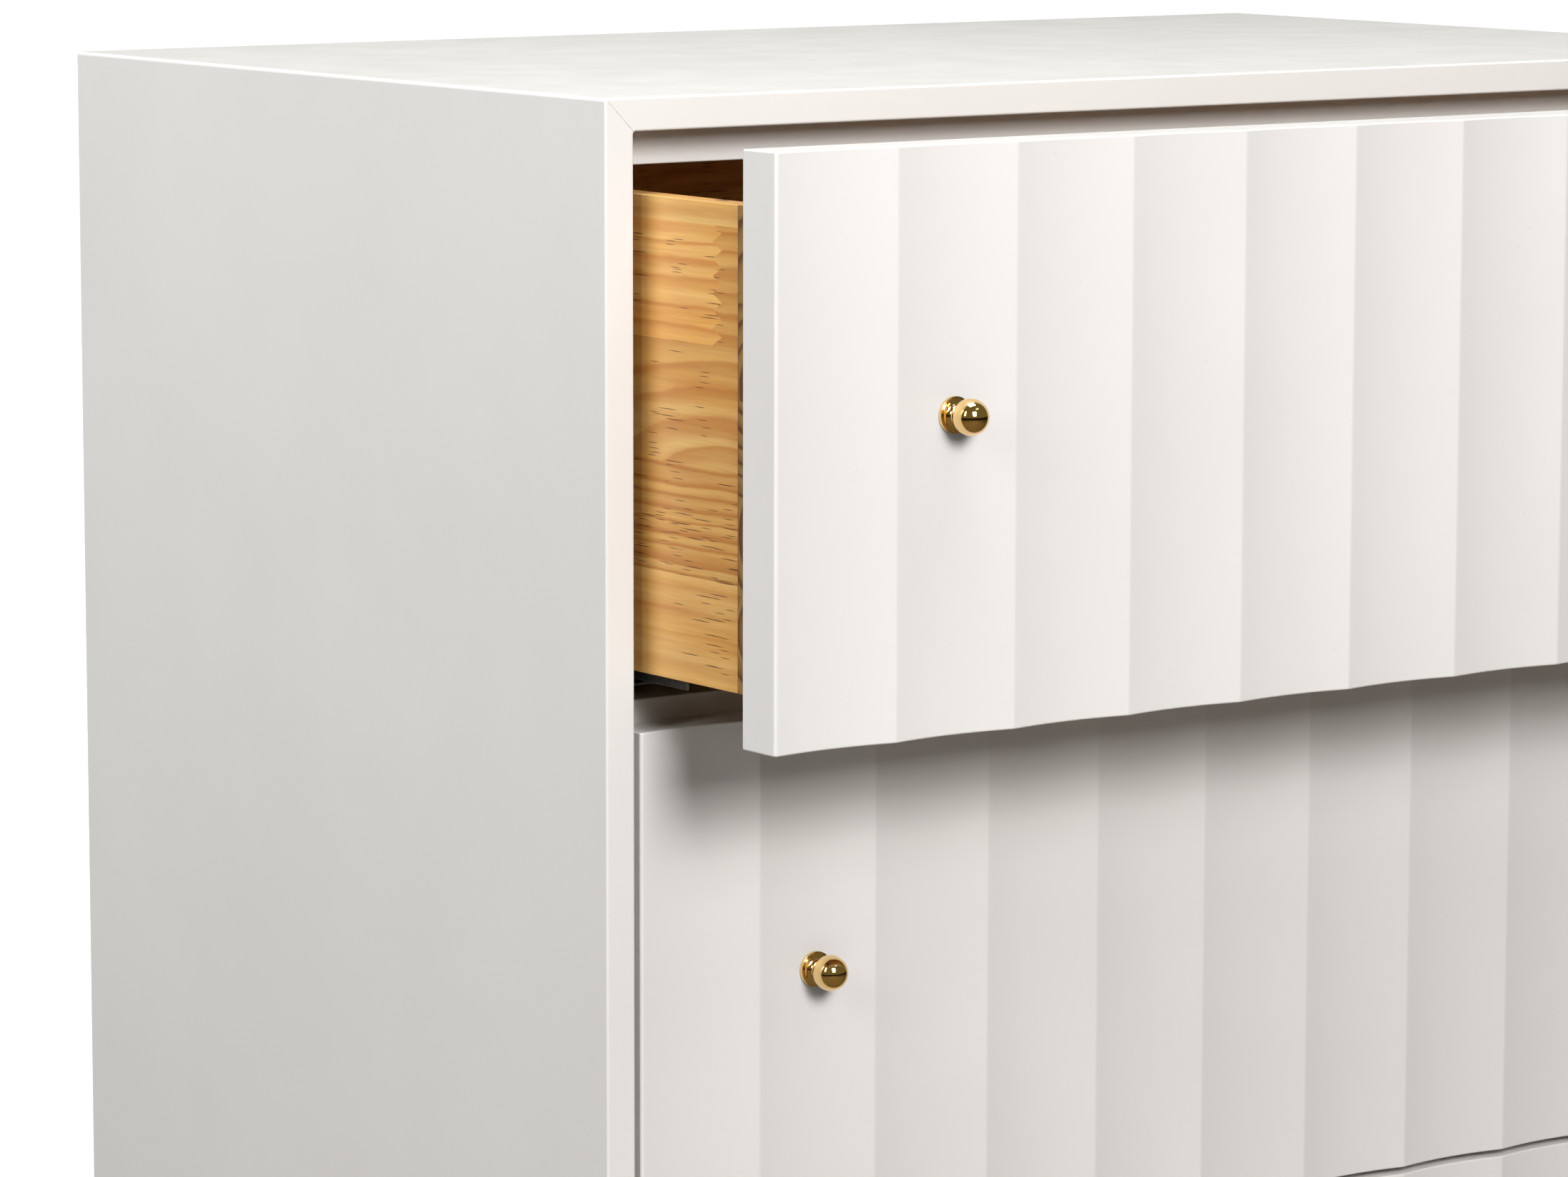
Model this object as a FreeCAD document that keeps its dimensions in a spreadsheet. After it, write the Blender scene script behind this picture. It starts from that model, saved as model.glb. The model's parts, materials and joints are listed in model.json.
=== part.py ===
import FreeCAD, Part

import math
import os
import re

import Sketcher

# A white lacquered chest of drawers with fluted inset fronts, pine drawer boxes and brass knobs.
# Millimetres. X runs across the front, Y into the depth, Z up. The fronts face -Y. The origin is on
# the floor, in the middle of the chest as it stands with its top drawer part open.
#
# Each piece is drawn in a frame of its own sub-assembly: X = 0 on the centre line, Y = 0 on the front
# plane (the crests of a drawer front), and Z = 0 at the case's underside or at a drawer front's lower
# edge. Its Placement then puts it where it stands.

DIMENSIONS = {
    # case
    "case_width": 800,
    "case_height": 877,
    "case_depth": 500,
    "board": 16,
    "outer_arris": 2,
    "front_arris": 1.2,
    "back_thickness": 8,
    "back_ledge": 8,
    "back_clearance": 0.5,
    # rails between the drawers, let into the sides
    "rail_height": 18,
    "rail_depth": 60,
    "rail_setback": 30,
    "housing_depth": 6,
    "housing_clearance": 0.1,
    # recessed plinth on nail-on glides
    "plinth_height": 42,
    "plinth_front_setback": 40,
    "plinth_side_setback": 30,
    "plinth_back_setback": 20,
    "glide_radius": 7,
    "glide_thickness": 3,
    "glide_inset": 25,
    "nail_radius": 1.5,
    "nail_length": 14,
    # fluted drawer fronts
    "drawer_count": 3,
    "front_gap": 3.5,
    "front_thickness": 26.5,
    "flute_count": 11,
    "flute_depth": 3.5,
    "flute_stock": 1,
    "crest_radius": 4.5,
    "end_arris": 1.5,
    # drawer boxes
    "box_side_gap": 6,
    "box_length": 450,
    "box_height": 226,
    "box_lift": 25,
    "box_side": 13,
    "box_front": 15,
    "box_lip": 7,
    "box_back": 13,
    "box_tail": 20,
    "bottom_thickness": 6,
    "bottom_recess": 13,
    "bottom_clearance": 0.1,
    "groove_depth": 6,
    "dado_depth": 5,
    # knobs
    "knob_drop": 126,
    "knob_seat": 3.25,
    "knob_length": 22,
    "knob_ball_radius": 8.5,
    "knob_neck_radius": 3.4,
    "rosette_radius": 8.8,
    "rosette_rim": 1.6,
    "rosette_foot": 7.6,
    "rosette_cove": 3.6,
    "knob_bore_radius": 2.05,
    "knob_bore_depth": 12,
    # slides under the boxes
    "steel": 1.5,
    "slide_play": 1.5,
    "slide_drop": 14,
    "flange_height": 22,
    "slide_inset": 2,
    "drawer_member_width": 30,
    "drawer_member_skirt": 13.5,
    "drawer_member_length": 407.5,
    "intermediate_height": 17.5,
    "intermediate_length": 420,
    "cabinet_member_length": 430,
    "slide_start": 44,
    "peg_radius": 3,
    "peg_height": 4,
    "peg_clearance": 0.2,
    "peg_margin": 37,
    "drawer_member_lead": 1,
    "intermediate_lead": 2,
    "flange_screw_front": 36,
    "flange_screw_middle": 196,
    "flange_screw_rear": 376,
    # screws: shank radius, head radius, head height, length under the head
    "screw_clearance": 0.1,
    "pilot_spare": 1,
    "back_screw_shank": 1.5,
    "back_screw_head": 3,
    "back_screw_head_height": 2,
    "back_screw_length": 20,
    "slide_screw_shank": 1.75,
    "slide_screw_head": 3.5,
    "slide_screw_head_height": 2.2,
    "slide_screw_length": 12,
    "front_screw_shank": 1.9,
    "front_screw_head": 4,
    "front_screw_head_height": 2.4,
    "front_screw_length": 27,
    "front_screw_reach": 340,
    "front_screw_low": 60,
    "front_screw_high": 215,
    "knob_screw_shank": 2,
    "knob_screw_head": 4,
    "knob_screw_head_height": 2.6,
    "knob_screw_length": 47,
    "knob_screw_play": 0.2,
    "recess_depth": 1.2,
    "recess_width": 0.9,
    "recess_share": 1.2,
    # motion
    "open_at_rest": 109,
}

# Worked-out sizes, written with the names above.
FRONT_PLANE = "(0 - (case_depth - open_at_rest - knob_length + knob_seat) / 2)"
CASE_FLOOR = "(plinth_height + glide_thickness)"
HALF_WIDTH = "(case_width / 2)"
INNER_HALF = "(case_width / 2 - board)"
FRONT_WIDTH = "(case_width - 2 * board - 2 * front_gap)"
FRONT_HEIGHT = "((case_height - 2 * board - (drawer_count + 1) * front_gap) / drawer_count)"
FLUTE_PITCH = f"({FRONT_WIDTH} / flute_count)"
FLUTE_RADIUS = f"({FLUTE_PITCH} * {FLUTE_PITCH} / (8 * flute_depth) + flute_depth / 2)"
SECOND_FLUTE = "1.5"
KNOB_X = f"({FRONT_WIDTH} / 2 - {SECOND_FLUTE} * {FLUTE_PITCH})"
KNOB_Z = f"({FRONT_HEIGHT} - knob_drop)"
BOX_HALF = "(case_width / 2 - board - box_side_gap)"
BOX_INNER_HALF = "(case_width / 2 - board - box_side_gap - box_side)"
BOX_TOP = "(box_lift + box_height)"
BOX_INSIDE_Y = "(front_thickness + box_front)"
BOX_END_Y = "(front_thickness + box_length)"
BACK_BOARD_Y = "(front_thickness + box_length - box_tail - box_back)"
BOTTOM_Z = "(box_lift + bottom_recess + bottom_clearance)"
GROOVE_Z = "(box_lift + bottom_recess)"
GROOVE_HEIGHT = "(bottom_thickness + 2 * bottom_clearance)"
SLIDE_Z = "(box_lift - slide_drop)"
MEMBER_X = "(case_width / 2 - board - box_side_gap - box_side - slide_inset)"
PEG_X = f"({MEMBER_X} - drawer_member_width / 2)"
DRAWER_MEMBER_Y = f"({BOX_INSIDE_Y} + drawer_member_lead)"
INTERMEDIATE_Y = "(slide_start + intermediate_lead)"
FLANGE_SCREW_Z = f"({SLIDE_Z} + flange_height / 2)"
BACK_SCREW_SINK = "(back_screw_head_height + screw_clearance)"

# Screws and holes that repeat: each one's share of the board's length, or its place by name.
LEFT_AND_RIGHT = ("0 - ", "")
BACK_SCREW_ROWS = ("1 / 8", "3 / 8", "5 / 8", "7 / 8")
BACK_SCREW_COLUMNS = ("1 / 6", "1 / 2", "5 / 6")
FLANGE_SCREW_PLACES = ("flange_screw_front", "flange_screw_middle", "flange_screw_rear")
FRONT_SCREW_COLUMNS = ("0 - front_screw_reach", "0", "front_screw_reach")
FRONT_SCREW_ROWS = ("front_screw_low", "front_screw_high")
DRAWERS = ("bottom", "middle", "top")

document = FreeCAD.newDocument("ChestOfDrawers")
sheet = document.addObject("Spreadsheet::Sheet", "Sizes")
for row, (alias, amount) in enumerate(DIMENSIONS.items(), start=1):
    sheet.set(f"A{row}", alias.replace("_", " "))
    sheet.set(f"B{row}", str(amount))
    sheet.setAlias(f"B{row}", alias)
document.recompute()

nodes = {}


def size(words):
    """An expression for the sheet, from one written with the plain names of the dimensions."""
    return re.sub(r"[a-z_]+", lambda name: f"Sizes.{name.group(0)}", words)


def number(alias):
    """A driving dimension's present value, read from the sheet."""
    return float(getattr(sheet, alias))


# ---------------------------------------------------------------- drawing helpers


def bind_offset(item, x, y, z):
    """Move an attached sketch or primitive from its body's origin to a bound place."""
    for axis, words in (("x", x), ("y", y), ("z", z)):
        item.setExpression(f"AttachmentOffset.Base.{axis}", size(words))


def bind_placement(item, y, z, x="0"):
    """Put a finished piece where it stands."""
    for axis, words in (("x", x), ("y", y), ("z", z)):
        item.setExpression(f"Placement.Base.{axis}", size(words))


def new_body(label, y=FRONT_PLANE, z=CASE_FLOOR):
    body = document.addObject("PartDesign::Body", label)
    body.Label = label
    bind_placement(body, y, z)
    return body


def attach(item, body, role):
    """Attach a sketch or primitive to one of its body's own origin planes."""
    plane = [feature for feature in body.Origin.OriginFeatures if feature.Role == role][0]
    item.AttachmentSupport = (plane, [""])
    item.MapMode = "FlatFace"
    return item


def new_sketch(body, role):
    return attach(body.newObject("Sketcher::SketchObject", f"{body.Label}_sketch"), body, role)


def add_turned(body, shape, role, start, sizes):
    """Add a cylinder, cone or sphere whose axis is square to an origin plane.

    start is (across, up, along), where along runs with the plane's normal: +Z on XY_Plane and -Y, out
    of the front, on XZ_Plane.
    """
    label = f"{body.Label}_{shape.lower()}"
    item = attach(body.newObject(f"PartDesign::Additive{shape}", label), body, role)
    bind_offset(item, *start)
    for name, words in sizes.items():
        item.setExpression(name, size(words))
    return item


def bound_constraint(sketch, name, words, *constraint):
    """Add a dimension to a sketch and bind it to the sheet."""
    index = sketch.addConstraint(Sketcher.Constraint(*constraint))
    sketch.renameConstraint(index, name)
    sketch.setExpression(f"Constraints.{name}", size(words))


def rectangle_sketch(body, low, width, depth):
    """A rectangle in plan, from its low corner."""
    sketch = new_sketch(body, "XY_Plane")
    bind_offset(sketch, *low)
    corners = [FreeCAD.Vector(x, y, 0) for x, y in ((0, 0), (10, 0), (10, 10), (0, 10))]
    for side in range(4):
        sketch.addGeometry(Part.LineSegment(corners[side], corners[(side + 1) % 4]), False)
    for side in range(4):
        sketch.addConstraint(Sketcher.Constraint("Coincident", side, 2, (side + 1) % 4, 1))
        sketch.addConstraint(Sketcher.Constraint("Horizontal" if side % 2 == 0 else "Vertical", side))
    sketch.addConstraint(Sketcher.Constraint("Coincident", 0, 1, -1, 1))
    bound_constraint(sketch, "width", width, "DistanceX", 0, 1, 0, 2, 10.0)
    bound_constraint(sketch, "depth", depth, "DistanceY", 1, 1, 1, 2, 10.0)
    return sketch


def add_block(body, low, extent):
    """Pad a block upwards from its low corner (x, y, z) by its extent (x, y, z)."""
    pad = body.newObject("PartDesign::Pad", f"{body.Label}_pad")
    pad.Profile = rectangle_sketch(body, low, extent[0], extent[1])
    pad.setExpression("Length", size(extent[2]))
    return pad


def must_cut(body, pocket):
    """Recompute, and make sure that the pocket took material away."""
    before = pocket.BaseFeature.Shape.Volume
    document.recompute()
    if not pocket.Shape.Volume < before - 1e-3:
        raise RuntimeError(f"{pocket.Name} in {body.Label} cuts nothing")
    return pocket


def cut_block(body, low, extent):
    """Pocket a block upwards from its low corner (x, y, z) by its extent (x, y, z)."""
    document.recompute()
    sketch = rectangle_sketch(body, low, extent[0], extent[1])
    pocket = body.newObject("PartDesign::Pocket", f"{body.Label}_pocket")
    pocket.Profile = sketch
    pocket.Reversed = True
    pocket.setExpression("Length", size(extent[2]))
    return must_cut(body, pocket)


def cut_holes(body, role, start, length, radius, centres, reverse=False):
    """Pocket round holes from a plane. centres are (across, up) in that plane.

    On XZ_Plane they run along +Y from y = start, on YZ_Plane along -X from x = start, and on
    XY_Plane down from z = start, or the other way when reversed.
    """
    document.recompute()
    sketch = new_sketch(body, role)
    offset = f"0 - {start}" if role == "XZ_Plane" else start
    sketch.setExpression("AttachmentOffset.Base.z", size(offset))
    normal = FreeCAD.Vector(0, 0, 1)
    for index, (across, up) in enumerate(centres):
        first_guess = FreeCAD.Vector(index * 50 + 10, 10, 0)
        sketch.addGeometry(Part.Circle(first_guess, normal, 1), False)
        bound_constraint(sketch, f"radius{index}", radius, "Radius", index, 1.0)
        bound_constraint(sketch, f"across{index}", across, "DistanceX", -1, 1, index, 3, first_guess.x)
        bound_constraint(sketch, f"up{index}", up, "DistanceY", -1, 1, index, 3, first_guess.y)
    pocket = body.newObject("PartDesign::Pocket", f"{body.Label}_holes")
    pocket.Profile = sketch
    pocket.Reversed = reverse
    pocket.setExpression("Length", size(length))
    return must_cut(body, pocket)


def fillet_edges(body, radius, chosen):
    """Round the edges of a body's tip that a test picks."""
    document.recompute()
    base = body.Tip
    names = [f"Edge{i}" for i, edge in enumerate(base.Shape.Edges, start=1) if chosen(edge)]
    if not names:
        raise RuntimeError(f"no edge of {body.Label} to round")
    fillet = body.newObject("PartDesign::Fillet", f"{body.Label}_fillet")
    fillet.Base = (base, names)
    fillet.setExpression("Radius", size(radius))
    document.recompute()
    return fillet


def keep(item):
    """List a finished piece as a node of the assembly."""
    nodes[item.Label] = item
    return item


def mirror_piece(label, source):
    """The opposite hand of a piece, across the centre line."""
    mirrored = document.addObject("Part::Mirroring", label)
    mirrored.Label = label
    mirrored.Source = source
    mirrored.Normal = FreeCAD.Vector(1, 0, 0)
    return mirrored


# ---------------------------------------------------------------- screws, glides and groups of them


def upright():
    return FreeCAD.Rotation()


def head_to_back():
    """Turns a screw so that its head faces +Y."""
    return FreeCAD.Rotation(FreeCAD.Vector(1, 0, 0), -90)


def head_inwards(side):
    """Turns a screw in the left side (side = -1) or right side (+1) so that its head faces in."""
    return FreeCAD.Rotation(FreeCAD.Vector(0, 1, 0), -90 * side)


def screw(label, kind):
    """A pan-head screw with a cross recess. Its head stands on Z = 0 and its shank goes down."""
    body = document.addObject("PartDesign::Body", label)
    body.Label = label
    head = {"Radius": f"{kind}_screw_head", "Height": f"{kind}_screw_head_height"}
    add_turned(body, "Cylinder", "XY_Plane", ("0", "0", "0"), head)
    shank = {"Radius": f"{kind}_screw_shank", "Height": f"{kind}_screw_length"}
    add_turned(body, "Cylinder", "XY_Plane", ("0", "0", f"0 - {kind}_screw_length"), shank)
    slot = f"({kind}_screw_head * recess_share)"
    floor = f"({kind}_screw_head_height - recess_depth)"
    for width, depth in ((slot, "recess_width"), ("recess_width", slot)):
        low = (f"0 - {width} / 2", f"0 - {depth} / 2", floor)
        cut_block(body, low, (width, depth, "recess_depth"))
    return body


def glide_pattern():
    """A nail-on glide: a disc under the plinth with its nail up in the wood."""
    body = document.addObject("PartDesign::Body", "glide_pattern")
    disc = {"Radius": "glide_radius", "Height": "glide_thickness"}
    nail = {"Radius": "nail_radius", "Height": "glide_thickness + nail_length"}
    for sizes in (disc, nail):
        add_turned(body, "Cylinder", "XY_Plane", ("0", "0", "0"), sizes)
    return body


def group(label, pattern, rotation_places):
    """Separate copies of one fastener, each at its own bound place, as one node."""
    links = []
    for index, (rotation, x, y, z) in enumerate(rotation_places):
        link = document.addObject("App::Link", f"{label}_{index}")
        link.LinkedObject = pattern
        link.Placement = FreeCAD.Placement(FreeCAD.Vector(), rotation)
        bind_placement(link, y, z, x)
        links.append(link)
    compound = document.addObject("Part::Compound", label)
    compound.Label = label
    compound.Links = links
    return keep(compound)


# ---------------------------------------------------------------- case


def mitred_board(label, length, turn, x, z):
    """A case board with mitred ends, its inner face through (x, z), turned about the Y axis.

    The section lies in XZ: a trapezium with its long side outside, where each corner carries its half
    of the case's rounded arris.
    """
    body = new_body(label)
    sketch = new_sketch(body, "XZ_Plane")
    turned = FreeCAD.Rotation(FreeCAD.Vector(0, 0, 1), turn)
    sketch.AttachmentOffset = FreeCAD.Placement(FreeCAD.Vector(), turned)
    bind_offset(sketch, x, z, "0")
    half = number(length) / 2
    thick = number("board")
    arris = number("outer_arris")
    corner = arris * (1 - math.sqrt(0.5))
    inner = [FreeCAD.Vector(side * (half - thick), 0, 0) for side in (-1, 1)]
    tip = [FreeCAD.Vector(side * (half - corner), thick - corner, 0) for side in (-1, 1)]
    outer = [FreeCAD.Vector(side * (half - arris), thick, 0) for side in (-1, 1)]
    centre = [FreeCAD.Vector(side * (half - arris), thick - arris, 0) for side in (-1, 1)]
    up = FreeCAD.Vector(0, 0, 1)
    eighth = math.pi / 4
    sketch.addGeometry(Part.LineSegment(inner[0], inner[1]), False)
    sketch.addGeometry(Part.LineSegment(inner[1], tip[1]), False)
    sketch.addGeometry(Part.ArcOfCircle(Part.Circle(centre[1], up, arris), eighth, 2 * eighth), False)
    sketch.addGeometry(Part.LineSegment(outer[1], outer[0]), False)
    sketch.addGeometry(Part.ArcOfCircle(Part.Circle(centre[0], up, arris), 2 * eighth, 3 * eighth), False)
    sketch.addGeometry(Part.LineSegment(tip[0], inner[0]), False)
    for edge in range(6):
        if edge not in (2, 3):
            sketch.addConstraint(Sketcher.Constraint("Coincident", edge, 2, (edge + 1) % 6, 1))
    sketch.addConstraint(Sketcher.Constraint("Tangent", 2, 2, 3, 1))
    sketch.addConstraint(Sketcher.Constraint("Tangent", 3, 2, 4, 1))
    sketch.addConstraint(Sketcher.Constraint("PointOnObject", 2, 3, 1))
    sketch.addConstraint(Sketcher.Constraint("PointOnObject", 4, 3, 5))
    sketch.addConstraint(Sketcher.Constraint("PointOnObject", 0, 1, -1))
    sketch.addConstraint(Sketcher.Constraint("Horizontal", 3))
    sketch.addConstraint(Sketcher.Constraint("Symmetric", 0, 1, 0, 2, -1, 1))
    sketch.addConstraint(Sketcher.Constraint("Angle", 1, eighth))
    sketch.addConstraint(Sketcher.Constraint("Angle", 5, -eighth))
    inside = f"{length} - 2 * board"
    bound_constraint(sketch, "inner_length", inside, "DistanceX", 0, 1, 0, 2, 2 * (half - thick))
    bound_constraint(sketch, "thickness", "board", "DistanceY", 0, 2, 3, 1, thick)
    bound_constraint(sketch, "right_arris", "outer_arris", "Radius", 2, arris)
    bound_constraint(sketch, "left_arris", "outer_arris", "Radius", 4, arris)
    pad = body.newObject("PartDesign::Pad", f"{label}_pad")
    pad.Profile = sketch
    pad.Reversed = True
    pad.setExpression("Length", size("case_depth"))

    def on_front_outline(edge):
        ends = [vertex.Point for vertex in edge.Vertexes]
        in_front = all(abs(end.y) < 1e-6 for end in ends)
        slanted = abs(ends[0].x - ends[1].x) > 3 and abs(ends[0].z - ends[1].z) > 3
        return in_front and not slanted

    fillet_edges(body, "front_arris", on_front_outline)
    return body


def rabbet(body, low_x, low_z, width, height):
    """The step at the back of a case board that the back panel lies in."""
    cut_block(body, (low_x, "case_depth - back_thickness", low_z), (width, "back_thickness", height))


def back_screw_pilots(body, centres):
    radius = "back_screw_shank + screw_clearance"
    length = "(back_screw_length + pilot_spare)"
    cut_holes(body, "XZ_Plane", f"(case_depth - {BACK_SCREW_SINK} - {length})", length, radius, centres)


LEDGE_LINE = "(board - back_ledge / 2)"
EDGE_X = f"({HALF_WIDTH} - {LEDGE_LINE})"
SIDE_SCREW_HEIGHTS = [f"(case_height * {share})" for share in BACK_SCREW_ROWS]
END_SCREW_PLACES = [f"(case_width * {share} - case_width / 2)" for share in BACK_SCREW_COLUMNS]
RAIL_HEIGHTS = {
    "lower_rail": f"(board + front_gap / 2 + {FRONT_HEIGHT} + front_gap - rail_height / 2)",
    "upper_rail": f"(board + front_gap / 2 + 2 * ({FRONT_HEIGHT} + front_gap) - rail_height / 2)",
    "top_rail": "(case_height - board - rail_height)",
}


def bay_height(index):
    """A drawer front's lower edge above the case's underside."""
    return f"(board + front_gap + {index} * ({FRONT_HEIGHT} + front_gap))"


def make_top():
    body = mitred_board("case_top", "case_width", 0, "0", "case_height - board")
    rabbet(body, f"0 - {HALF_WIDTH}", "case_height - board", "case_width", "back_ledge")
    back_screw_pilots(body, [(x, f"case_height - {LEDGE_LINE}") for x in END_SCREW_PLACES])
    keep(body)


def make_bottom():
    body = mitred_board("case_bottom", "case_width", 180, "0", "board")
    rabbet(body, f"0 - {HALF_WIDTH}", "board - back_ledge", "case_width", "back_ledge")
    back_screw_pilots(body, [(x, LEDGE_LINE) for x in END_SCREW_PLACES])
    keep(body)


def make_sides():
    body = mitred_board("case_left_side", "case_height", 90, f"0 - {INNER_HALF}", "case_height / 2")
    rabbet(body, f"0 - {INNER_HALF} - back_ledge", "0", "back_ledge", "case_height")
    back_screw_pilots(body, [(f"0 - {EDGE_X}", z) for z in SIDE_SCREW_HEIGHTS])
    depth = "(housing_depth + housing_clearance)"
    long = "(rail_depth + 2 * housing_clearance)"
    high = "(rail_height + 2 * housing_clearance)"
    start = "rail_setback - housing_clearance"
    for height in RAIL_HEIGHTS.values():
        low = (f"0 - {INNER_HALF} - {depth}", start, f"{height} - housing_clearance")
        cut_block(body, low, (depth, long, high))
    pilots = []
    for index in range(len(DRAWERS)):
        for place in FLANGE_SCREW_PLACES:
            pilots.append((f"slide_start + {place}", f"{bay_height(index)} + {FLANGE_SCREW_Z}"))
    radius = "slide_screw_shank + screw_clearance"
    length = "slide_screw_length - steel + pilot_spare"
    cut_holes(body, "YZ_Plane", f"(0 - {INNER_HALF})", length, radius, pilots)
    keep(body)
    keep(mirror_piece("case_right_side", body))


def make_back():
    inset = "(board - back_ledge + back_clearance)"
    body = new_body("back_panel")
    low = (f"0 - {HALF_WIDTH} + {inset}", "case_depth - back_thickness", inset)
    add_block(body, low, (f"case_width - 2 * {inset}", "back_thickness", f"case_height - 2 * {inset}"))
    centres = [(f"{sign}{EDGE_X}", z) for sign in LEFT_AND_RIGHT for z in SIDE_SCREW_HEIGHTS]
    for height in (LEDGE_LINE, f"(case_height - {LEDGE_LINE})"):
        centres += [(x, height) for x in END_SCREW_PLACES]
    start = "(case_depth - back_thickness)"
    radius = "back_screw_shank + screw_clearance"
    cut_holes(body, "XZ_Plane", start, "back_thickness", radius, centres)
    start = f"(case_depth - {BACK_SCREW_SINK})"
    radius = "back_screw_head + screw_clearance"
    cut_holes(body, "XZ_Plane", start, BACK_SCREW_SINK, radius, centres)
    keep(body)
    pattern = screw("back_screw_pattern", "back")
    seat = f"{FRONT_PLANE} + case_depth - {BACK_SCREW_SINK}"
    heads = [(head_to_back(), x, seat, f"{CASE_FLOOR} + {z}") for x, z in centres]
    group("back_screws", pattern, heads)


def make_rails():
    reach = f"({INNER_HALF} + housing_depth)"
    for label, height in RAIL_HEIGHTS.items():
        body = new_body(label)
        low = (f"0 - {reach}", "rail_setback", height)
        add_block(body, low, (f"2 * {reach}", "rail_depth", "rail_height"))
        keep(body)


def make_plinth():
    half = "(case_width / 2 - plinth_side_setback)"
    front = "plinth_front_setback"
    rear = "(case_depth - plinth_back_setback - board)"
    glide_x = f"({half} - glide_inset)"
    foot = "(0 - plinth_height)"
    nail_hole = "nail_length + pilot_spare"
    radius = "nail_radius + screw_clearance"
    for label, y in (("plinth_front", front), ("plinth_back", rear)):
        body = new_body(label)
        add_block(body, (f"0 - {half}", y, foot), (f"2 * {half}", "board", "plinth_height"))
        centres = [(f"{sign}{glide_x}", f"{y} + board / 2") for sign in LEFT_AND_RIGHT]
        cut_holes(body, "XY_Plane", foot, nail_hole, radius, centres, reverse=True)
        keep(body)
    left = new_body("plinth_left")
    start = f"({front} + board)"
    add_block(left, (f"0 - {half}", start, foot), ("board", f"{rear} - {start}", "plinth_height"))
    keep(left)
    keep(mirror_piece("plinth_right", left))
    places = []
    for sign in LEFT_AND_RIGHT:
        for y in (front, rear):
            places.append((upright(), f"{sign}{glide_x}", f"{FRONT_PLANE} + {y} + board / 2", "0"))
    group("glides", glide_pattern(), places)


# ---------------------------------------------------------------- drawers


def make_fluted_front(name, y, z):
    """A thick front with one shallow round cove per flute and softly rounded crests between them."""
    body = new_body(f"{name}_front", y, z)
    low = (f"0 - {FRONT_WIDTH} / 2", "0 - flute_stock", "0")
    add_block(body, low, (FRONT_WIDTH, "front_thickness + flute_stock", FRONT_HEIGHT))
    document.recompute()
    sketch = new_sketch(body, "XY_Plane")
    bind_offset(sketch, f"0 - {FRONT_WIDTH} / 2", f"flute_depth - {FLUTE_RADIUS}", "0")
    sketch.addGeometry(Part.Circle(FreeCAD.Vector(30, 0, 0), FreeCAD.Vector(0, 0, 1), 150), False)
    sketch.addConstraint(Sketcher.Constraint("PointOnObject", 0, 3, -1))
    bound_constraint(sketch, "centre", f"{FLUTE_PITCH} / 2", "DistanceX", -1, 1, 0, 3, 30.0)
    bound_constraint(sketch, "radius", FLUTE_RADIUS, "Radius", 0, 150.0)
    flute = body.newObject("PartDesign::Pocket", f"{name}_flute")
    flute.Profile = sketch
    flute.Reversed = True
    flute.setExpression("Length", size(FRONT_HEIGHT))
    must_cut(body, flute)
    flutes = body.newObject("PartDesign::LinearPattern", f"{name}_flutes")
    flutes.Originals = [flute]
    flutes.Direction = (sketch, ["H_Axis"])
    flutes.setExpression("Length", size(f"{FRONT_WIDTH} - {FLUTE_PITCH}"))
    flutes.setExpression("Occurrences", size("flute_count"))
    body.Tip = flutes
    document.recompute()
    half = -sketch.AttachmentOffset.Base.x

    def upright_on_crest_plane(edge):
        ends = [vertex.Point for vertex in edge.Vertexes]
        vertical = len(ends) == 2 and abs(ends[0].z - ends[1].z) > 10
        return vertical and all(abs(end.y) < 1e-3 for end in ends)

    def crest(edge):
        return upright_on_crest_plane(edge) and abs(edge.Vertexes[0].Point.x) < half - 1

    def end_edge(edge):
        return upright_on_crest_plane(edge) and abs(edge.Vertexes[0].Point.x) > half - 1

    fillet_edges(body, "crest_radius", crest)
    fillet_edges(body, "end_arris", end_edge)
    knob_holes = [(f"{sign}{KNOB_X}", KNOB_Z) for sign in LEFT_AND_RIGHT]
    cut_holes(body, "XZ_Plane", "0", "front_thickness", "knob_screw_shank + knob_screw_play", knob_holes)
    pilot_depth = "(front_screw_length - box_front + pilot_spare)"
    pilots = [(x, z_up) for x in FRONT_SCREW_COLUMNS for z_up in FRONT_SCREW_ROWS]
    radius = "front_screw_shank + screw_clearance"
    cut_holes(body, "XZ_Plane", f"(front_thickness - {pilot_depth})", pilot_depth, radius, pilots)
    return keep(body)


def make_box_front(name, y, z):
    body = new_body(f"{name}_box_front", y, z)
    low = (f"0 - {BOX_HALF}", "front_thickness", "box_lift")
    add_block(body, low, (f"2 * {BOX_HALF}", "box_front", "box_height"))
    lap = ("box_side", "box_front - box_lip", "box_height")
    for x in (f"0 - {BOX_HALF}", BOX_INNER_HALF):
        cut_block(body, (x, "front_thickness + box_lip", "box_lift"), lap)
    groove = (f"0 - {BOX_INNER_HALF}", f"{BOX_INSIDE_Y} - groove_depth", GROOVE_Z)
    cut_block(body, groove, (f"2 * {BOX_INNER_HALF}", "groove_depth", GROOVE_HEIGHT))
    knob_holes = [(f"{sign}{KNOB_X}", KNOB_Z) for sign in LEFT_AND_RIGHT]
    radius = "knob_screw_shank + knob_screw_play"
    cut_holes(body, "XZ_Plane", "front_thickness", "box_front", radius, knob_holes)
    screws = [(x, z_up) for x in FRONT_SCREW_COLUMNS for z_up in FRONT_SCREW_ROWS]
    radius = "front_screw_shank + screw_clearance"
    cut_holes(body, "XZ_Plane", "front_thickness", "box_front", radius, screws)
    return keep(body)


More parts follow.
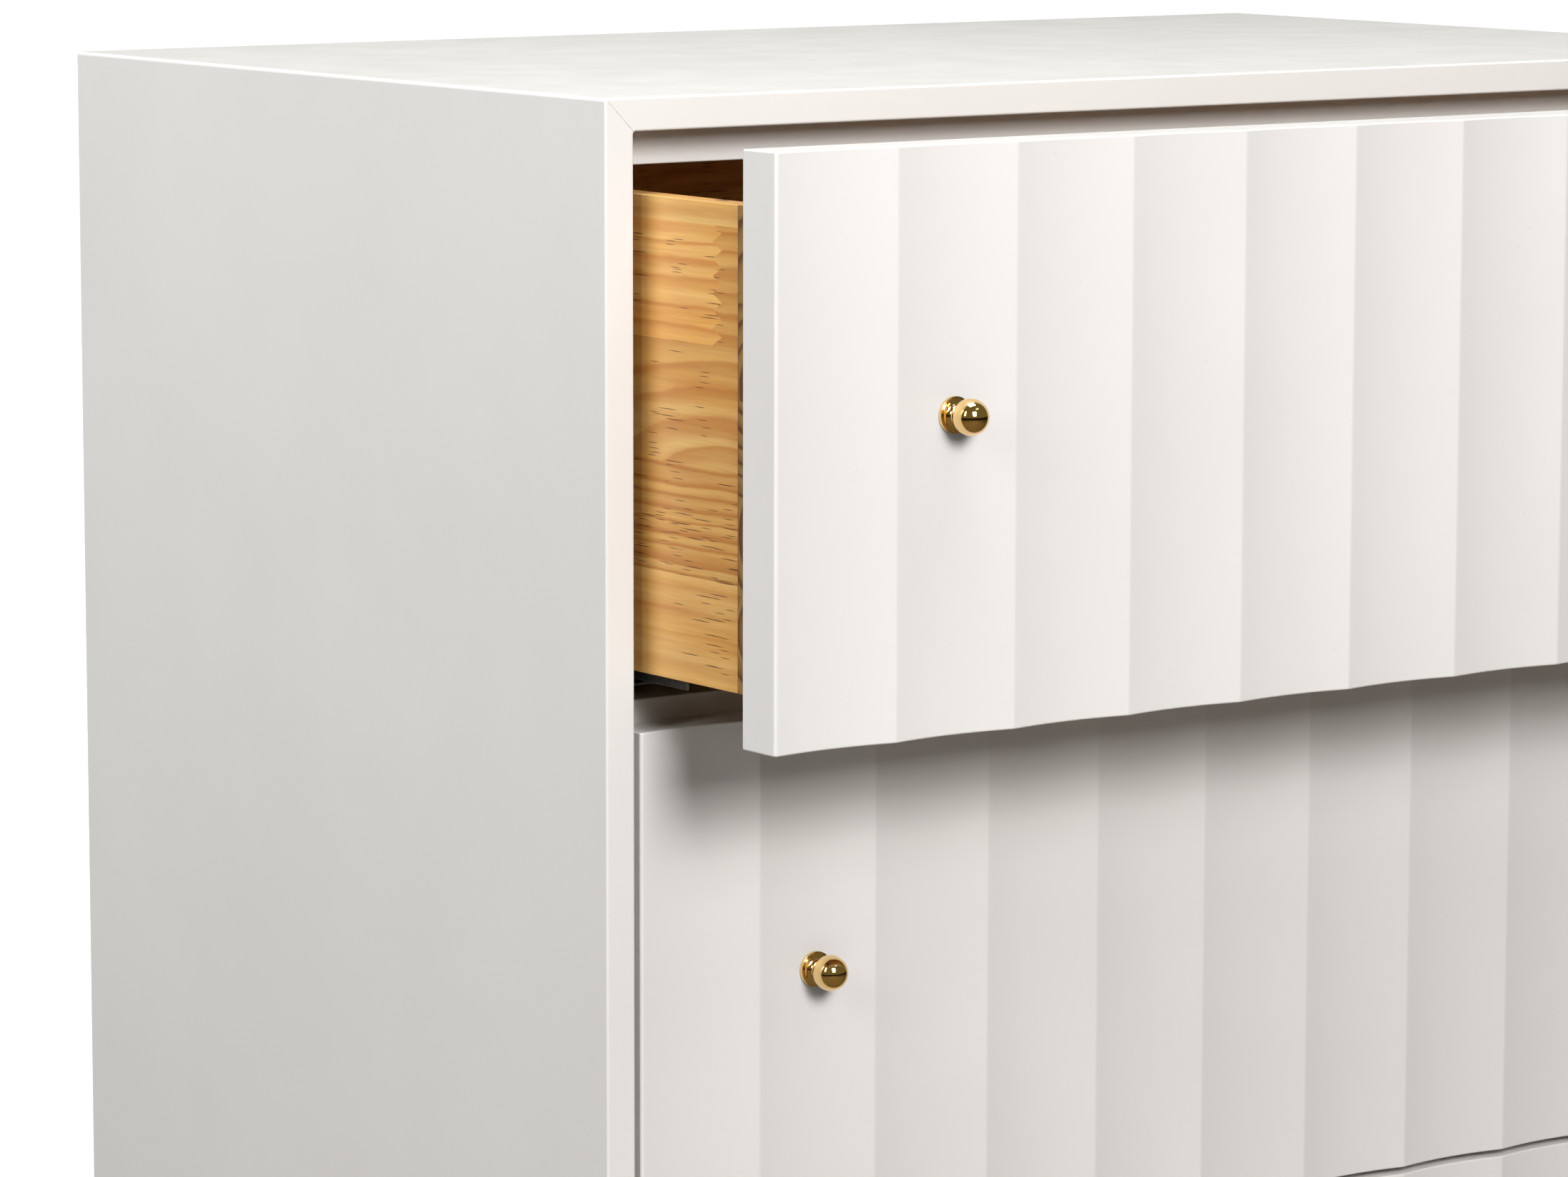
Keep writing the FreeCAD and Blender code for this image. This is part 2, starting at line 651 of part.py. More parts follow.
def make_box_sides(name, y, z):
    body = new_body(f"{name}_box_left", y, z)
    start = "(front_thickness + box_lip)"
    low = (f"0 - {BOX_HALF}", start, "box_lift")
    add_block(body, low, ("box_side", f"{BOX_END_Y} - {start}", "box_height"))
    groove = (f"0 - {BOX_INNER_HALF} - groove_depth", start, GROOVE_Z)
    cut_block(body, groove, ("groove_depth", f"{BOX_END_Y} - {start}", GROOVE_HEIGHT))
    foot = f"({GROOVE_Z} + {GROOVE_HEIGHT})"
    dado = (f"0 - {BOX_INNER_HALF} - dado_depth", f"{BACK_BOARD_Y} - housing_clearance", foot)
    wide = "box_back + 2 * housing_clearance"
    cut_block(body, dado, ("dado_depth", wide, f"{BOX_TOP} - {foot}"))
    keep(body)
    keep(mirror_piece(f"{name}_box_right", body))


def make_box_back(name, y, z):
    half = f"({BOX_INNER_HALF} + dado_depth - housing_clearance)"
    foot = f"({GROOVE_Z} + {GROOVE_HEIGHT})"
    body = new_body(f"{name}_box_back", y, z)
    low = (f"0 - {half}", BACK_BOARD_Y, foot)
    add_block(body, low, (f"2 * {half}", "box_back", f"{BOX_TOP} - {foot}"))
    keep(body)


def make_box_bottom(name, y, z):
    """The bottom panel, in its grooves, with holes for the slides' pegs."""
    half = f"({BOX_INNER_HALF} + groove_depth - 3 * bottom_clearance)"
    start = f"({BOX_INSIDE_Y} - groove_depth + 3 * bottom_clearance)"
    end = f"({BACK_BOARD_Y} + box_back)"
    body = new_body(f"{name}_box_bottom", y, z)
    low = (f"0 - {half}", start, BOTTOM_Z)
    add_block(body, low, (f"2 * {half}", f"{end} - {start}", "bottom_thickness"))
    centres = [(f"{sign}{PEG_X}", place) for sign in LEFT_AND_RIGHT for place in peg_places()]
    radius = "peg_radius + peg_clearance"
    cut_holes(body, "XY_Plane", BOTTOM_Z, "bottom_thickness", radius, centres, reverse=True)
    keep(body)


def make_knobs(name, y, z):
    """Two turned knobs: a ball on a short neck over a round rosette, bored for its screw."""
    body = new_body(f"{name}_knob_left_pattern", y, z)

    def turn(shape, along, sizes):
        """Add an element on the knob's axis, at a distance from the rosette's back."""
        start = (f"0 - {KNOB_X}", KNOB_Z, f"{along} - knob_seat")
        add_turned(body, shape, "XZ_Plane", start, sizes)

    ball_centre = "(knob_length - knob_ball_radius)"
    cove = {"Radius1": "rosette_foot", "Radius2": "knob_neck_radius", "Height": "rosette_cove"}
    turn("Sphere", ball_centre, {"Radius": "knob_ball_radius"})
    turn("Cylinder", "0", {"Radius": "knob_neck_radius", "Height": ball_centre})
    turn("Cylinder", "0", {"Radius": "rosette_radius", "Height": "rosette_rim"})
    turn("Cone", "rosette_rim", cove)
    start = "(knob_seat - knob_bore_depth)"
    hole = [(f"0 - {KNOB_X}", KNOB_Z)]
    cut_holes(body, "XZ_Plane", start, "knob_bore_depth", "knob_bore_radius", hole)
    opposite = mirror_piece(f"{name}_knob_right_pattern", body)
    knobs = document.addObject("Part::Compound", f"{name}_knobs")
    knobs.Label = f"{name}_knobs"
    knobs.Links = [body, opposite]
    keep(knobs)


def make_drawer_screws(name, y, z, knob_pattern, front_pattern):
    seat = f"{y} + {BOX_INSIDE_Y}"
    knob_places = []
    for sign in LEFT_AND_RIGHT:
        knob_places.append((head_to_back(), f"{sign}{KNOB_X}", seat, f"{z} + {KNOB_Z}"))
    group(f"{name}_knob_screws", knob_pattern, knob_places)
    front_places = []
    for x in FRONT_SCREW_COLUMNS:
        for z_up in FRONT_SCREW_ROWS:
            front_places.append((head_to_back(), x, seat, f"{z} + {z_up}"))
    group(f"{name}_front_screws", front_pattern, front_places)


# ---------------------------------------------------------------- slides


def peg_places():
    end = f"({DRAWER_MEMBER_Y} + drawer_member_length)"
    return (f"({DRAWER_MEMBER_Y} + peg_margin)", f"({end} - peg_margin)")


def channel(body, corner, length, width, height):
    """A steel channel that opens downwards: a web under its corner's height, a wall down each edge."""
    outer_x, start, top = corner
    add_block(body, (outer_x, start, f"{top} - steel"), (width, length, "steel"))
    for x in (outer_x, f"{outer_x} + {width} - steel"):
        add_block(body, (x, start, f"{top} - {height}"), ("steel", length, f"{height} - steel"))


def make_drawer_member(name, y, z):
    """The member that the box stands on, with two pegs up into the bottom panel."""
    body = new_body(f"{name}_slide_left_drawer_member", y, z)
    corner = (f"0 - {MEMBER_X}", DRAWER_MEMBER_Y, BOTTOM_Z)
    height = "(drawer_member_skirt + steel)"
    channel(body, corner, "drawer_member_length", "drawer_member_width", height)
    peg = {"Radius": "peg_radius", "Height": "peg_height + steel"}
    for place in peg_places():
        add_turned(body, "Cylinder", "XY_Plane", (f"0 - {PEG_X}", place, f"{BOTTOM_Z} - steel"), peg)
    keep(body)
    keep(mirror_piece(f"{name}_slide_right_drawer_member", body))


def make_intermediate_member(name, y, z):
    body = new_body(f"{name}_slide_left_intermediate_member", y, z)
    inset = "(steel + slide_play)"
    top = f"({BOTTOM_Z} - steel - 2 * slide_play)"
    width = f"(drawer_member_width - 2 * {inset})"
    corner = (f"0 - {MEMBER_X} + {inset}", INTERMEDIATE_Y, top)
    channel(body, corner, "intermediate_length", width, "intermediate_height")
    keep(body)
    keep(mirror_piece(f"{name}_slide_right_intermediate_member", body))


def make_cabinet_member(name, y, z):
    """The fixed member: a flange on the case side, a web under the box and two upright walls."""
    body = new_body(f"{name}_slide_left_cabinet_member", y, z)
    inset = "(2 * steel + 2 * slide_play)"
    near = f"(0 - {MEMBER_X} + {inset})"
    far = f"(0 - {MEMBER_X} + drawer_member_width - {inset} - steel)"
    wall_top = f"({BOTTOM_Z} - 2 * steel - 4 * slide_play)"
    case_face = f"(0 - {INNER_HALF})"
    length = "cabinet_member_length"
    corner = (case_face, "slide_start", SLIDE_Z)
    add_block(body, corner, (f"{far} + steel - {case_face}", length, "steel"))
    add_block(body, corner, ("steel", length, "flange_height"))
    for x in (near, far):
        add_block(body, (x, "slide_start", SLIDE_Z), ("steel", length, f"{wall_top} - {SLIDE_Z}"))
    centres = [(f"slide_start + {place}", FLANGE_SCREW_Z) for place in FLANGE_SCREW_PLACES]
    radius = "slide_screw_shank + screw_clearance"
    cut_holes(body, "YZ_Plane", f"({case_face} + steel)", "steel", radius, centres)
    keep(body)
    keep(mirror_piece(f"{name}_slide_right_cabinet_member", body))


def make_slide_screws():
    pattern = screw("slide_screw_pattern", "slide")
    places = []
    for index in range(len(DRAWERS)):
        z = f"{CASE_FLOOR} + {bay_height(index)} + {FLANGE_SCREW_Z}"
        for side, sign in ((-1, "0 - "), (1, "")):
            for place in FLANGE_SCREW_PLACES:
                y = f"{FRONT_PLANE} + slide_start + {place}"
                places.append((head_inwards(side), f"{sign}({INNER_HALF} - steel)", y, z))
    group("slide_screws", pattern, places)


def make_drawer(index, knob_pattern, front_pattern):
    name = DRAWERS[index]
    z = f"({CASE_FLOOR} + {bay_height(index)})"
    pulled = "open_at_rest" if name == "top" else "0"
    shut_y = FRONT_PLANE
    drawer_y = f"({FRONT_PLANE} - {pulled})"
    runner_y = f"({FRONT_PLANE} - {pulled} / 2)"
    make_fluted_front(name, drawer_y, z)
    make_box_front(name, drawer_y, z)
    make_box_sides(name, drawer_y, z)
    make_box_back(name, drawer_y, z)
    make_box_bottom(name, drawer_y, z)
    make_knobs(name, drawer_y, z)
    make_drawer_screws(name, drawer_y, z, knob_pattern, front_pattern)
    make_drawer_member(name, drawer_y, z)
    make_intermediate_member(name, runner_y, z)
    make_cabinet_member(name, shut_y, z)


# ---------------------------------------------------------------- checks and export


def check_document():
    document.recompute()
    bad_states = {"Invalid", "Error"}
    failed = [item.Name for item in document.Objects if bad_states & set(item.State)]
    if failed:
        raise RuntimeError(f"failed objects: {failed}")
    for label, item in nodes.items():
        if item.Shape.isNull() or not item.Shape.isValid() or not item.Shape.Solids:
            raise RuntimeError(f"bad shape: {label}")


def export_nodes():
    os.makedirs("parts", exist_ok=True)
    for label, item in nodes.items():
        item.Shape.exportStep(f"parts/{label}.step")
        box = item.Shape.BoundBox
        sides = f"{box.XLength:.1f} x {box.YLength:.1f} x {box.ZLength:.1f}"
        print(f"{label}: {len(item.Shape.Solids)} solid(s), {sides}")


make_top()
make_bottom()
make_sides()
make_back()
make_rails()
make_plinth()
make_slide_screws()
shared_knob_screw = screw("knob_screw_pattern", "knob")
shared_front_screw = screw("front_screw_pattern", "front")
for drawer_index in range(len(DRAWERS)):
    make_drawer(drawer_index, shared_knob_screw, shared_front_screw)
check_document()
export_nodes()
print(len(nodes), "nodes")
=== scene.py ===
"""Looks for the chest of drawers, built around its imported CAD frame. Metres, in the row's frame."""
import json
import math
import random
from collections import namedtuple

import bmesh
import bpy
from mathutils import Matrix, Vector


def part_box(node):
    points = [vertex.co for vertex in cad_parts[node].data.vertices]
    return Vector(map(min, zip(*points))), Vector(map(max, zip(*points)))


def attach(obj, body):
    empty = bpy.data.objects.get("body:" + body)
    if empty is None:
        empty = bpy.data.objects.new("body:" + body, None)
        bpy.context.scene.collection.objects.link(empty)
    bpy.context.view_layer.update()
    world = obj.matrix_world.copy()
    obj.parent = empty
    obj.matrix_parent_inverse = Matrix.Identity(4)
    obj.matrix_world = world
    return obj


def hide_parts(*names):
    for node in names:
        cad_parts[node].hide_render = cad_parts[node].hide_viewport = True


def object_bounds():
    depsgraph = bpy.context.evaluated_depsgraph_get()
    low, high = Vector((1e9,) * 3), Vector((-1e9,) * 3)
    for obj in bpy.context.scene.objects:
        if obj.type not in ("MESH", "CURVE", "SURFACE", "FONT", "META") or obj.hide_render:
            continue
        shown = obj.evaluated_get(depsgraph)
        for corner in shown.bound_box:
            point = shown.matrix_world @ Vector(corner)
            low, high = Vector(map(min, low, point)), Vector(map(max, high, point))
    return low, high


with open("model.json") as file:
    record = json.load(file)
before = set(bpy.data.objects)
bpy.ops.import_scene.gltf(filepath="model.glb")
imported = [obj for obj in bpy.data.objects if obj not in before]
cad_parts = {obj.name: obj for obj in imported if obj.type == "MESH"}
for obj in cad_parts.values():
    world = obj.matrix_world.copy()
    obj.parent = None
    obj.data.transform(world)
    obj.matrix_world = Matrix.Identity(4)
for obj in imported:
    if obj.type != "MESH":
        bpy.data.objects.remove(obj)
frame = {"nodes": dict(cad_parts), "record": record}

cad_box = [list(corner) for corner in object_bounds()]
MM = 0.001
BEHAVIOUR = frame["record"]["behaviour"]
BODY_OF = {node: body for body, held in BEHAVIOUR["bodies"].items() for node in held}
SLOT_OF = {part["node"]: part["material_slot"] for part in frame["record"]["subparts"]}
DRAWERS = ("bottom", "middle", "top")


# ---------------------------------------------------------------- node tree helpers


class Nodes:
    """Short calls for the nodes of one tree, a material's or the world's."""

    def __init__(self, tree):
        self.tree = tree

    def add(self, kind, **settings):
        node = self.tree.nodes.new(kind)
        for name, value in settings.items():
            setattr(node, name, value)
        return node

    def feed(self, socket, value):
        """Link an output to an input, or set the input to a plain value."""
        if isinstance(value, bpy.types.NodeSocket):
            self.tree.links.new(value, socket)
        else:
            socket.default_value = value

    def math(self, operation, first, second=0.0, third=0.0):
        node = self.add("ShaderNodeMath", operation=operation)
        for socket, value in zip(node.inputs, (first, second, third)):
            self.feed(socket, value)
        return node.outputs[0]

    def split(self, vector):
        node = self.add("ShaderNodeSeparateXYZ")
        self.feed(node.inputs[0], vector)
        return node.outputs

    def join(self, x, y, z):
        node = self.add("ShaderNodeCombineXYZ")
        for socket, value in zip(node.inputs, (x, y, z)):
            self.feed(socket, value)
        return node.outputs[0]

    def noise(self, vector, scale=1.0, detail=2.0, roughness=0.5):
        node = self.add("ShaderNodeTexNoise")
        self.feed(node.inputs["Vector"], vector)
        node.inputs["Scale"].default_value = scale
        node.inputs["Detail"].default_value = detail
        node.inputs["Roughness"].default_value = roughness
        return node.outputs["Fac"]

    def ramp(self, value, stops, interpolation="LINEAR"):
        """A colour ramp through (position, colour) stops; a colour may be one grey number."""
        node = self.add("ShaderNodeValToRGB")
        node.color_ramp.interpolation = interpolation
        elements = node.color_ramp.elements
        while len(elements) < len(stops):
            elements.new(1.0)
        for element, (position, colour) in zip(elements, stops):
            element.position = position
            rgb = (colour,) * 3 if isinstance(colour, (int, float)) else colour
            element.color = (*rgb, 1.0)
        self.feed(node.inputs["Fac"], value)
        return node.outputs["Color"]

    def between(self, value, low, high, to_low=0.0, to_high=1.0):
        """Map a value linearly from one range to another, held at the ends."""
        node = self.add("ShaderNodeMapRange", clamp=True)
        for socket, amount in zip(node.inputs, (value, low, high, to_low, to_high)):
            self.feed(socket, amount)
        return node.outputs["Result"]

    def mix(self, factor, first, second, blend="MIX"):
        node = self.add("ShaderNodeMix", data_type="RGBA", blend_type=blend)
        colour_sockets = [socket for socket in node.inputs if socket.type == "RGBA"]
        self.feed(node.inputs["Factor"], factor)
        for socket, colour in zip(colour_sockets, (first, second)):
            value = colour if isinstance(colour, bpy.types.NodeSocket) else (*colour, 1.0)
            self.feed(socket, value)
        return [socket for socket in node.outputs if socket.type == "RGBA"][0]

    def bump(self, height, distance, under=None):
        """A normal bent by a height, where a height of 1 stands for the distance."""
        node = self.add("ShaderNodeBump")
        node.inputs["Distance"].default_value = distance
        node.inputs["Strength"].default_value = 1.0
        self.feed(node.inputs["Height"], height)
        if under is not None:
            self.feed(node.inputs["Normal"], under)
        return node.outputs["Normal"]


class Shader(Nodes):
    """A new material's node tree, with object coordinates ready to use."""

    def __init__(self, name):
        self.material = bpy.data.materials.new(name)
        self.material.use_nodes = True
        super().__init__(self.material.node_tree)
        self.principled = self.tree.nodes["Principled BSDF"]
        self.coords = self.add("ShaderNodeTexCoord").outputs["Object"]

    def dimmed_bounce(self, colour, share):
        """The colour as seen, with only a share of it in the light that it bounces on to other things."""
        bounced = self.add("ShaderNodeLightPath").outputs["Is Diffuse Ray"]
        return self.mix(self.math("MULTIPLY", bounced, 1.0 - share), colour, (0.0, 0.0, 0.0))

    def surface(self, **inputs):
        """Set the principled shader's inputs, given with underscores for spaces."""
        for name, value in inputs.items():
            self.feed(self.principled.inputs[name.replace("_", " ")], value)
        return self.material


# ---------------------------------------------------------------- materials


LACQUER_DIM = (0.835, 0.815, 0.79)
LACQUER_BRIGHT = (0.855, 0.838, 0.815)
LACQUER_DUST = (0.72, 0.70, 0.68)


def lacquer_material():
    """Warm white satin lacquer: slight mottling, fine orange peel, a soft clear sheen."""
    shader = Shader("white_lacquer_satin")
    mottle = shader.noise(shader.coords, scale=6.0, detail=3.0)
    tint = shader.mix(shader.between(mottle, 0.35, 0.65), LACQUER_DIM, LACQUER_BRIGHT)
    dust = shader.noise(shader.coords, scale=420.0, detail=1.0)
    specks = shader.between(dust, 0.80, 0.84)
    colour = shader.mix(specks, tint, LACQUER_DUST)
    peel = shader.noise(shader.coords, scale=700.0)
    waves = shader.noise(shader.coords, scale=45.0)
    normal = shader.bump(peel, 0.02 * MM)
    normal = shader.bump(waves, 0.06 * MM, under=normal)
    haze = shader.noise(shader.coords, scale=25.0, detail=3.0)
    rough = shader.between(haze, 0.3, 0.7, 0.40, 0.48)
    return shader.surface(Base_Color=colour, Roughness=rough, Normal=normal,
                          Coat_Weight=0.15, Coat_Roughness=0.32, Specular_IOR_Level=0.45)


PINE_BOUNCE = 0.45
PINE_PALE = (0.95, 0.60, 0.200)
PINE_LIGHT = (0.92, 0.50, 0.125)
PINE_BAND = (0.62, 0.225, 0.038)
PINE_DASH = (0.16, 0.048, 0.010)
END_GRAIN = (0.42, 0.235, 0.070)
FINGER = 4 * MM
FINGER_SLOPE = 1.8
PIECE_LENGTH = 370
PIECE_SHUFFLE = 40.0
RING_SWAY = 11 * MM
RING_RIPPLE = 3.5 * MM
RING_JUMP = 9 * MM
RING_UNEVENNESS = 11 * MM
STAVE_SPAN = 1000.0
SHORT_PIECE_TONE = 0.84
# cells per metre along and across the grain, for two sizes of dash
DASH_CELLS = ((14.0, 470.0), (26.0, 620.0))
# how dark the wood is from one ring's early wood through its late wood to the next ring
RING_SHADES = ((0.0, 0.30), (0.14, 0.0), (0.38, 0.05), (0.62, 0.40),
               (0.80, 0.95), (0.90, 1.0), (0.96, 0.75), (1.0, 0.30))
# A stave's upper edge, the spacing of its growth rings, the height of their pith and its depth under the
# face, how fast the pith dives along the board, how dark bands, tone and dashes are, and where the first
# finger joint lies. Lengths are in millimetres, from the board's low edge and near end.
Stave = namedtuple("Stave", "upper_edge ring_spacing pith_height pith_depth dive bands tone joint dashes")
SIDE_STAVES = (
    Stave(50, 12.0, -60, 20, 0.04, 0.45, 1.02, 250, 0.80),
    Stave(102, 6.0, 190, 14, 0.03, 1.00, 0.96, 180, 0.65),
    Stave(159, 13.0, 88, -4, 0.42, 0.80, 1.00, 330, 0.20),
    Stave(215, 10.0, 60, 10, 0.03, 0.85, 1.02, 20, 0.35),
    Stave(226, 14.0, 330, 30, 0.02, 0.15, 1.08, 290, 0.02),
)


def plain_staves(width, count, seed):
    """Staves of equal width for a board that needs no particular ones."""
    chooser = random.Random(seed)
    staves = []
    for index in range(count):
        edge = width * (index + 1) / count
        pith = edge + chooser.choice((-1, 1)) * chooser.uniform(10, 80)
        staves.append(Stave(
            upper_edge=edge,
            ring_spacing=chooser.uniform(7, 13),
            pith_height=pith,
            pith_depth=chooser.uniform(5, 30),
            dive=chooser.uniform(-0.2, 0.2),
            bands=chooser.uniform(0.5, 0.9),
            tone=chooser.uniform(0.95, 1.05),
            joint=chooser.uniform(0, PIECE_LENGTH),
            dashes=chooser.uniform(0.1, 0.5)))
    return staves


class Pine(Shader):
    """Clear-finished pine staves, glued edge to edge and finger-jointed end to end.

    u, v and w run along the grain, across the staves and through the board, from its low corner.
    """

    def __init__(self, name, node, along, across, through, staves, seed):
        super().__init__(name)
        axes = self.split(self.coords)
        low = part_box(node)[0]
        self.u, self.v, self.w = (self.math("SUBTRACT", axes[axis], low[axis])
                                  for axis in (along, across, through))
        self.staves = staves
        self.share = self.between(self.v, 0.0, staves[-1].upper_edge * MM)
        facing = self.split(self.add("ShaderNodeTexCoord").outputs["Normal"])[along]
        self.cut_across = self.between(self.math("ABSOLUTE", facing), 0.6, 0.8)
        self.spacing, self.pith_height, self.pith_depth = self.by_stave(
            "ring_spacing", "pith_height", "pith_depth")
        self.dive, self.band_strength, self.tone = self.by_stave("dive", "bands", "tone")
        self.joint, self.kept, _ = self.by_stave("joint", "dashes")
        self.cut_pieces(seed)

    def by_stave(self, *fields):
        """Up to three of the staves' numbers, each picked by where v lies.

        They pass through a colour ramp as shares of STAVE_SPAN, with 0.5 for zero.
        """
        stops = []
        edge = 0.0
        for stave in self.staves:
            values = [getattr(stave, field) for field in fields] + [0.0] * (3 - len(fields))
            start = edge / self.staves[-1].upper_edge
            stops.append((start, [value / STAVE_SPAN + 0.5 for value in values]))
            edge = stave.upper_edge
        picked = self.split(self.ramp(self.share, stops, "CONSTANT"))
        return [self.math("MULTIPLY", self.math("SUBTRACT", value, 0.5), STAVE_SPAN) for value in picked]

    def cut_pieces(self, seed):
        """Break each stave along its length by a zigzag cut, with its own chances for each piece."""
        zigzag = self.math("MULTIPLY", self.math("PINGPONG", self.v, FINGER), FINGER_SLOPE)
        start = self.math("ADD", self.math("MULTIPLY_ADD", self.joint, -MM, self.u), zigzag)
        piece = self.math("FLOOR", self.math("DIVIDE", start, PIECE_LENGTH * MM))
        key = self.add("ShaderNodeTexWhiteNoise", noise_dimensions="2D")
        self.feed(key.inputs["Vector"], self.join(self.math("ADD", self.joint, seed), piece, 0.0))
        self.chance = self.split(key.outputs["Color"])[0]
        self.shuffle = self.math("MULTIPLY", self.chance, PIECE_SHUFFLE)
        self.short_piece = self.math("LESS_THAN", start, 0.0)

    def grain(self, per_metre_along, per_metre_across, detail=2.0, roughness=0.5):
        """Noise stretched along the grain, different in each piece."""
        place = self.join(self.math("MULTIPLY_ADD", self.u, per_metre_along, self.shuffle),
                          self.math("MULTIPLY", self.v, per_metre_across),
                          self.math("MULTIPLY", self.w, per_metre_across))
        return self.noise(place, detail=detail, roughness=roughness)

    def grain_shift(self, reach, per_metre_along, per_metre_across, detail=2.0, roughness=0.5):
        """A length that wanders half its reach to either side."""
        noise = self.grain(per_metre_along, per_metre_across, detail, roughness)
        return self.math("MULTIPLY", self.math("SUBTRACT", noise, 0.5), reach)

    def growth_rings(self):
        """How dark the wood is, 0 to 1, in rings round a pith line that runs nearly along the board."""
        sway = self.grain_shift(RING_SWAY, 7.0, 16.0)
        ripple = self.grain_shift(RING_RIPPLE, 24.0, 130.0, detail=3.0, roughness=0.6)
        jump = self.math("MULTIPLY", self.math("SUBTRACT", self.chance, 0.5), RING_JUMP)
        beside = self.math("ADD", self.math("MULTIPLY_ADD", self.pith_height, -MM, self.v),
                           self.math("ADD", self.math("ADD", sway, ripple), jump))
        under = self.math("ADD", self.math("MULTIPLY_ADD", self.pith_depth, MM, self.w),
                          self.math("MULTIPLY", self.u, self.dive))
        square = self.math("MULTIPLY_ADD", beside, beside, self.math("MULTIPLY", under, under))
        radius = self.math("SQRT", square)
        place = self.join(self.math("MULTIPLY", radius, 110.0), self.shuffle, 0.0)
        uneven = self.noise(place, detail=1.0)
        counted = self.math("MULTIPLY_ADD", self.math("SUBTRACT", uneven, 0.5), RING_UNEVENNESS, radius)
        ring = self.math("FRACT", self.math("DIVIDE", counted, self.math("MULTIPLY", self.spacing, MM)))
        return self.ramp(ring, RING_SHADES)

    def dashes(self):
        """Resin canals: thin dark flecks along the grain, in clusters, more in some staves than others."""
        cluster = self.grain(9.0, 60.0, detail=1.0)
        limit = self.math("MULTIPLY", self.kept, self.between(cluster, 0.35, 0.60))
        dash = 0.0
        for per_metre_along, per_metre_across in DASH_CELLS:
            canal = self.add("ShaderNodeTexVoronoi", voronoi_dimensions="2D")
            place = self.join(self.math("MULTIPLY_ADD", self.u, per_metre_along, self.shuffle),
                              self.math("MULTIPLY", self.v, per_metre_across), 0.0)
            self.feed(canal.inputs["Vector"], place)
            canal.inputs["Scale"].default_value = 1.0
            fleck = self.between(canal.outputs["Distance"], 0.07, 0.13, 1.0, 0.0)
            drawn = self.math("LESS_THAN", self.split(canal.outputs["Color"])[0], limit)
            dash = self.math("MAXIMUM", dash, self.math("MULTIPLY", fleck, drawn))
        return dash

    def finish(self):
        """Build the colour, the relief and the sheen, and give the material."""
        band = self.growth_rings()
        dash = self.dashes()
        fibre = self.grain(20.0, 800.0, detail=3.0, roughness=0.6)
        streak = self.grain(6.0, 130.0, detail=4.0, roughness=0.65)
        blotch = self.grain(4.5, 34.0, detail=3.0, roughness=0.6)
        colour = self.mix(self.between(blotch, 0.38, 0.60), PINE_PALE, PINE_LIGHT)
        colour = self.mix(self.between(streak, 0.40, 0.68, 0.0, 0.60), colour, PINE_BAND)
        colour = self.mix(self.between(fibre, 0.30, 0.70, 0.16, 0.0), colour, PINE_BAND)
        banded = self.math("MULTIPLY", band, self.math("MULTIPLY", self.band_strength, 0.85))
        colour = self.mix(banded, colour, PINE_BAND)
        colour = self.mix(self.math("MULTIPLY", dash, 0.85), colour, PINE_DASH)
        colour = self.mix(self.cut_across, colour, self.mix(band, END_GRAIN, PINE_DASH))
        toned = self.add("ShaderNodeHueSaturation")
        # the short piece beyond a near joint comes from a darker board than the long one
        piece_tone = self.between(self.short_piece, 0.0, 1.0, 1.0, SHORT_PIECE_TONE)
        self.feed(toned.inputs["Value"], self.math("MULTIPLY", self.tone, piece_tone))
        self.feed(toned.inputs["Color"], colour)
        relief = self.math("ADD", self.math("MULTIPLY", fibre, 0.5), self.math("MULTIPLY", band, 0.5))
        normal = self.bump(relief, 0.08 * MM)
        normal = self.bump(self.math("SUBTRACT", 1.0, dash), 0.15 * MM, under=normal)
        colour = self.dimmed_bounce(toned.outputs["Color"], PINE_BOUNCE)
        return self.surface(Base_Color=colour, Roughness=self.between(fibre, 0.3, 0.7, 0.42, 0.55),
                            Normal=normal, Coat_Weight=0.2, Coat_Roughness=0.3)


BRASS_DEEP = (0.88, 0.60, 0.25)
BRASS_BRIGHT = (0.91, 0.645, 0.285)
BRASS_BOUNCE = 0.06


def brass_material():
    """Polished, clear-lacquered brass with faint turning marks and a little handling haze."""
    shader = Shader("polished_brass_turned")
    haze = shader.noise(shader.coords, scale=160.0, detail=3.0)
    colour = shader.mix(shader.between(haze, 0.3, 0.7), BRASS_DEEP, BRASS_BRIGHT)
    rough = shader.between(haze, 0.35, 0.75, 0.045, 0.09)
    marks = shader.noise(shader.coords, scale=1800.0)
    normal = shader.bump(marks, 0.002 * MM)
    return shader.surface(Base_Color=shader.dimmed_bounce(colour, BRASS_BOUNCE), Metallic=1.0,
                          Roughness=rough, Normal=normal, Coat_Weight=0.2, Coat_Roughness=0.04)


ZINC_DARK = (0.24, 0.245, 0.25)
ZINC_LIGHT = (0.38, 0.385, 0.39)
SPANGLE_SHARE = 0.12


